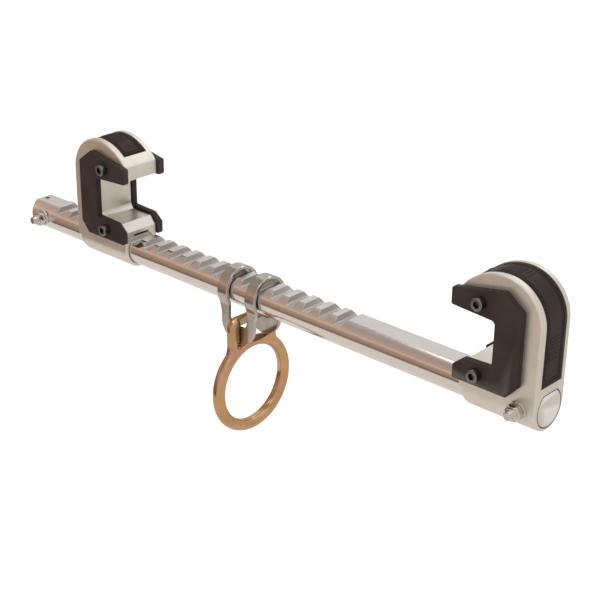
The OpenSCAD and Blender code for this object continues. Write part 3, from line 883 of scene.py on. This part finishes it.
def build_ring():
    """The forging: a ring with a flat between its posts, and the eye that they make with the rod."""
    ring_r, ring_z, wire_r = 33.3, -72.3, 4.6
    post_y, post_r, rod_z, bend = 19.5, 3.85, -19.2, 5.4
    flat_half, flat_z = 15.6, -37.9
    ring = tube("anchor_ring_forging", arc(0, ring_z, ring_r, 0, 360, 160)[:-1], True, wire_r - 0.03)
    combine(ring, box_mesh("cut", (HANGER_X - 12, -flat_half, flat_z), (HANGER_X + 12, flat_half, -30)))
    foot = [(post_y, rod_z - bend - 2), (post_y, -36.0), (19.7, -40.0), (20.5, -43.5), (22.0, -47.0),
            (24.2, -49.4)]
    eye = [(-y, z) for y, z in reversed(foot)]
    eye += arc(-post_y + bend, rod_z - bend, bend, 180, 90, 12)
    eye += [(p, rod_z) for p in (-8, -4, 0, 4, 8)]
    eye += arc(post_y - bend, rod_z - bend, bend, 90, 0, 12)
    eye += foot
    combine(ring, tube("join", eye, False, post_r - 0.02), "UNION")
    remesh = ring.modifiers.new("even mesh", "REMESH")
    remesh.mode = "VOXEL"
    remesh.voxel_size = 0.55 * MM
    remesh.use_smooth_shade = True
    smooth = ring.modifiers.new("forged blend", "SMOOTH")
    smooth.factor = 0.5
    smooth.iterations = 14
    bake(ring, 70)
    finish_piece(ring, "ring", "ring", "anchor_ring")


# ---------------------------------------------------------------- ratchet
def build_button():
    stem_r, groove_r, head_r = 3.0, 2.4, 7.0
    profile = [(15.2, 0), (15.2, 2.5), (14.7, stem_r), (11.2, stem_r), (11.2, groove_r), (9.9, groove_r),
               (9.9, stem_r), (-0.7, stem_r), (-0.6, 3.6), (-0.6, 6.7), (-0.85, head_r), (-1.6, head_r),
               (-1.8, 6.75), (-2.0, head_r), (-2.7, head_r), (-3.3, 6.7), (-3.6, 6.1), (-3.6, 4.6),
               (-3.25, 4.2), (-3.1, 2.2), (-3.05, 0)]
    obj = lathe("button", profile, "x", at_sliding(0, 0, BUTTON_Z), 72)
    finish_piece(obj, "button", "release_button", "release_button")


def build_spring():
    """The return spring as a swept wire."""
    start, length, coil_r, wire_r = 22.7, 2.9, 2.6, 0.34
    turns, steps = 3, 28
    count = turns * steps
    curve = bpy.data.curves.new("return_spring", "CURVE")
    curve.dimensions = "3D"
    curve.bevel_depth = wire_r * MM
    curve.bevel_resolution = 4
    curve.use_fill_caps = True
    spline = curve.splines.new("POLY")
    spline.points.add(count)
    for i in range(count + 1):
        t = 2 * math.pi * i / steps
        x, y, z = at_sliding(start + length * i / count, coil_r * math.cos(t), coil_r * math.sin(t))
        spline.points[i].co = (x * MM, y * MM, (z + BUTTON_Z + AXIS_Z) * MM, 1)
    obj = bpy.data.objects.new("return_spring", curve)
    bpy.context.scene.collection.objects.link(obj)
    curve.materials.append(MAT["spring"])
    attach(obj, "sliding_jaw")
    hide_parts("pawl_spring")


def paint_cad(node, material):
    """A CAD node that stays: its own mesh, with the detailed material."""
    obj = NODES[node]
    obj.data.materials.clear()
    obj.data.materials.append(MAT[material])


# ---------------------------------------------------------------- assembly
build_bar()
build_jaw("fixed_jaw_steel", "fixed_jaw", at_fixed, (2.0, 6.0), False)
build_jaw("sliding_jaw_steel", "sliding_jaw", at_sliding, (6.0, 2.0), True)
for jaw, body, place in (("fixed_jaw", "bar", at_fixed), ("sliding_jaw", "sliding_jaw", at_sliding)):
    for word, side in (("front", -1), ("rear", 1)):
        build_pad(f"{jaw}_{word}_pad_moulding", f"{jaw}_{word}_pad", place, side, body)
        build_screws(f"{jaw}_{word}_cap_screws", f"{jaw}_{word}_screws", place, side, body)
    build_grip(f"{jaw}_grip_strip", f"{jaw}_spine_grip", place, body, jaw == "sliding_jaw")
inserts = [build_cross_bolt(key) for key in BOLTS]
finish_piece(join(inserts, "nut_inserts"), "nylon", "bar", "locknut_inserts")
build_saddle()
build_ring()
build_button()
build_spring()
paint_cad("pawl", "pawl")
paint_cad("pawl_pin", "pawl")
paint_cad("release_button_clip", "spring")


# ---------------------------------------------------------------- studio
def add_area(name, location, target, size, energy, colour=(1, 1, 1)):
    light = bpy.data.lights.new(name, "AREA")
    light.shape = "RECTANGLE"
    light.size, light.size_y = size
    light.energy = energy
    light.color = colour
    obj = bpy.data.objects.new(name, light)
    obj.location = location
    obj.rotation_euler = (Vector(target) - Vector(location)).to_track_quat("-Z", "Y").to_euler()
    bpy.context.scene.collection.objects.link(obj)


def emitter(name, stops, low, high):
    """Glowing card whose colour changes with height."""
    mat = bpy.data.materials.new(name)
    mat.use_nodes = True
    tree = mat.node_tree
    tree.nodes.clear()
    coords = tree.nodes.new("ShaderNodeTexCoord")
    split = tree.nodes.new("ShaderNodeSeparateXYZ")
    scale = tree.nodes.new("ShaderNodeMapRange")
    ramp = tree.nodes.new("ShaderNodeValToRGB")
    glow = tree.nodes.new("ShaderNodeEmission")
    out = tree.nodes.new("ShaderNodeOutputMaterial")
    scale.inputs["From Min"].default_value = low
    scale.inputs["From Max"].default_value = high
    elements = ramp.color_ramp.elements
    while len(elements) < len(stops):
        elements.new(0.5)
    for element, (pos, colour) in zip(elements, stops):
        element.position = (pos - low) / (high - low)
        element.color = (*colour, 1)
    tree.links.new(coords.outputs["Object"], split.inputs[0])
    tree.links.new(split.outputs["Z"], scale.inputs["Value"])
    tree.links.new(scale.outputs["Result"], ramp.inputs["Fac"])
    tree.links.new(ramp.outputs["Color"], glow.inputs["Color"])
    tree.links.new(glow.outputs[0], out.inputs["Surface"])
    return mat


# lengths here are in metres
FLOOR_Z = -0.55
CARD_R = 0.95
CENTRE = Vector((-0.21, 0, -0.0536))
LIGHT_AIM = (-0.2, 0, -0.05)
CREAM = (0.84, 0.79, 0.745)


def wall(start, end, top):
    """Upright sheet round the object between two azimuths, from the floor up."""
    steps = 40
    angles = [math.radians(start + (end - start) * k / steps) for k in range(steps + 1)]
    verts, faces = [], []
    for a in angles:
        x, y = CENTRE.x + CARD_R * math.sin(a), CENTRE.y - CARD_R * math.cos(a)
        verts += [(x, y, FLOOR_Z + 0.004), (x, y, top)]
    for k in range(steps):
        faces.append((2 * k, 2 * k + 2, 2 * k + 3, 2 * k + 1))
    return verts, faces


def add_card(name, verts, faces, stops, low, high):
    """Glowing card that only mirror rays see."""
    mesh = bpy.data.meshes.new(name)
    mesh.from_pydata(verts, [], faces)
    mesh.materials.append(emitter(name, stops, low, high))
    card = bpy.data.objects.new(name, mesh)
    bpy.context.scene.collection.objects.link(card)
    card.visible_camera = False
    card.visible_diffuse = False
    card.visible_shadow = False
    card.visible_transmission = False


def build_studio():
    floor_mesh = bpy.data.meshes.new("floor")
    size = 6.0
    corners = [(-size, -size), (size, -size), (size, size), (-size, size)]
    floor_mesh.from_pydata([(x, y, FLOOR_Z) for x, y in corners], [], [(0, 1, 2, 3)])
    floor = bpy.data.objects.new("floor", floor_mesh)
    paint = bpy.data.materials.new("studio floor")
    paint.use_nodes = True
    bsdf = paint.node_tree.nodes["Principled BSDF"]
    bsdf.inputs["Base Color"].default_value = (0.93, 0.925, 0.92, 1)
    bsdf.inputs["Roughness"].default_value = 0.9
    floor_mesh.materials.append(paint)
    bpy.context.scene.collection.objects.link(floor)
    floor.visible_glossy = False

    # what metal mirrors: a cream floor and a grey wall behind
    plane = [(x, y, FLOOR_Z + 0.003) for x, y in corners]
    add_card("floor card", plane, [(0, 1, 2, 3)], [(-1, CREAM), (0, CREAM)], -1, 0)
    top = 0.75
    verts, faces = wall(25, 245, top)
    stops = [(-0.55, (0.72, 0.68, 0.64)), (-0.05, (0.78, 0.76, 0.74)), (0.74, (0.86, 0.84, 0.83))]
    add_card("wall card", verts, faces, stops, FLOOR_Z, top)

    # warm card on the camera's left: what the polished bar and saddle mirror
    warm_top = 2.2
    verts, faces = wall(-115, -8, warm_top)
    stops = [(-0.49, CREAM), (-0.46, (0.06, 0.05, 0.035)), (-0.42, (0.06, 0.05, 0.035)),
             (-0.38, (0.30, 0.19, 0.13)), (-0.16, (0.45, 0.30, 0.22)), (0.02, (0.50, 0.35, 0.27)),
             (0.08, (0.78, 0.58, 0.47)), (0.30, (0.58, 0.43, 0.36)), (0.70, (0.44, 0.37, 0.33)),
             (1.30, (0.50, 0.45, 0.42)), (2.10, (0.66, 0.61, 0.58))]
    add_card("warm card", verts, faces, stops, FLOOR_Z, warm_top)
    verts, faces = wall(-8, 25, warm_top)
    stops = [(-0.55, (0.78, 0.73, 0.68)), (0.50, (0.72, 0.68, 0.65)), (1.30, (0.60, 0.55, 0.52)),
             (2.10, (0.70, 0.66, 0.63))]
    add_card("side card", verts, faces, stops, FLOOR_Z, warm_top)

    add_area("key", (-0.5, -0.9, 1.3), LIGHT_AIM, (1.4, 1.0), 8, (1.0, 0.985, 0.965))
    add_area("fill", (1.1, -0.6, 0.6), LIGHT_AIM, (0.9, 0.9), 2.5, (1.0, 0.985, 0.97))
    add_area("back", (-0.3, 1.3, 0.9), LIGHT_AIM, (1.6, 0.8), 4, (1.0, 0.99, 0.98))

    world = bpy.data.worlds.new("studio")
    bpy.context.scene.world = world
    world.use_nodes = True
    background = world.node_tree.nodes["Background"]
    background.inputs["Color"].default_value = (1, 1, 1, 1)
    background.inputs["Strength"].default_value = 1.06


def build_camera():
    """The photograph's camera, as found by fitting the frame to the picture."""
    data = bpy.data.cameras.new("camera")
    data.sensor_width = 36
    data.lens = 83.72
    data.clip_end = 20
    camera = bpy.data.objects.new("camera", data)
    tilt, roll, turn = 65.705, -0.683, 42.655
    aim = Euler([math.radians(angle) for angle in (tilt, roll, turn)])
    camera.matrix_world = Matrix.LocRotScale(Vector((0.4137, -0.64292, 0.34633)), aim, None)
    bpy.context.scene.collection.objects.link(camera)
    bpy.context.scene.camera = camera


build_studio()
build_camera()
bpy.context.scene.view_settings.view_transform = "Standard"
